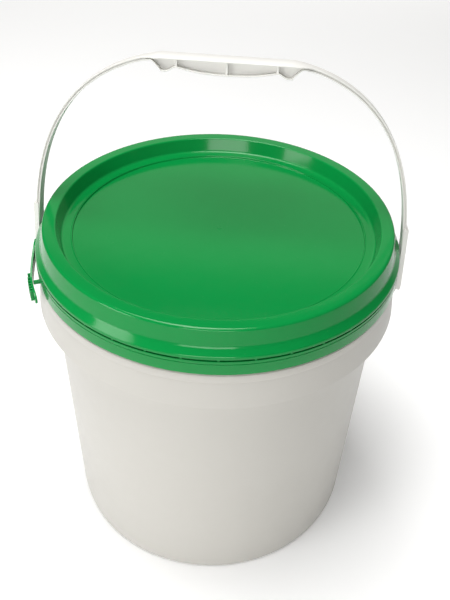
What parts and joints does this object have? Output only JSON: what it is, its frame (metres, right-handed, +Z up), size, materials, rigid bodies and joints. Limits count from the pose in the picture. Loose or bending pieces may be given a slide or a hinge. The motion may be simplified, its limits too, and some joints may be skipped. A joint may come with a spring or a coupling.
{
  "type": "plastic pail with press-on lid",
  "caption": "Round moulded plastic pail with a press-on lid, a tear-off tamper band with pull tab, and a swinging bail handle with a moulded grip.",
  "frame": {"origin": "centre of the base, on the plane the foot ring stands on", "axes": "+Z up along the pail's axis; X along the bail's pivot line, with the pull tab on the -X side; -Y towards the front, where the pull tab's free end points"},
  "size_m": [0.2744, 0.2664, 0.3728],
  "materials": {
    "white_pail": "moulded polypropylene, satin gloss",
    "green_lid": "moulded polyethylene, satin gloss",
    "green_band": "moulded polyethylene, satin gloss",
    "white_bail": "moulded polypropylene, satin gloss",
    "gasket_rubber": "matt foamed rubber"
  },
  "bodies": {
    "pail": {"pail_shell": "white_pail"},
    "tamper_band": {"tear_band": "green_band"},
    "lid": {"lid_shell": "green_lid", "lid_gasket": "gasket_rubber"},
    "tab": {"pull_tab": "green_band"},
    "bail": {"bail_handle": "white_bail"}
  },
  "joints": [
    {"name": "bail_swing", "type": "hinge", "parent": "pail", "child": "bail", "pos_m": [0, 0, 0.2182], "axis": [1, 0, 0], "range_deg": [-110, 130]},
    {"name": "tear_band_lift", "type": "slide", "parent": "pail", "child": "tamper_band", "axis": [0, 0, 1], "range_m": [0, 0.012]},
    {"name": "lid_lift", "type": "slide", "parent": "tamper_band", "child": "lid", "axis": [0, 0, 1], "range_m": [0, 0.012]},
    {"name": "pull_tab_bend", "type": "hinge", "parent": "tamper_band", "child": "tab", "pos_m": [-0.13141, -0.01847, 0.237], "axis": [0, 0, -1], "range_deg": [0, 60]}
  ]
}
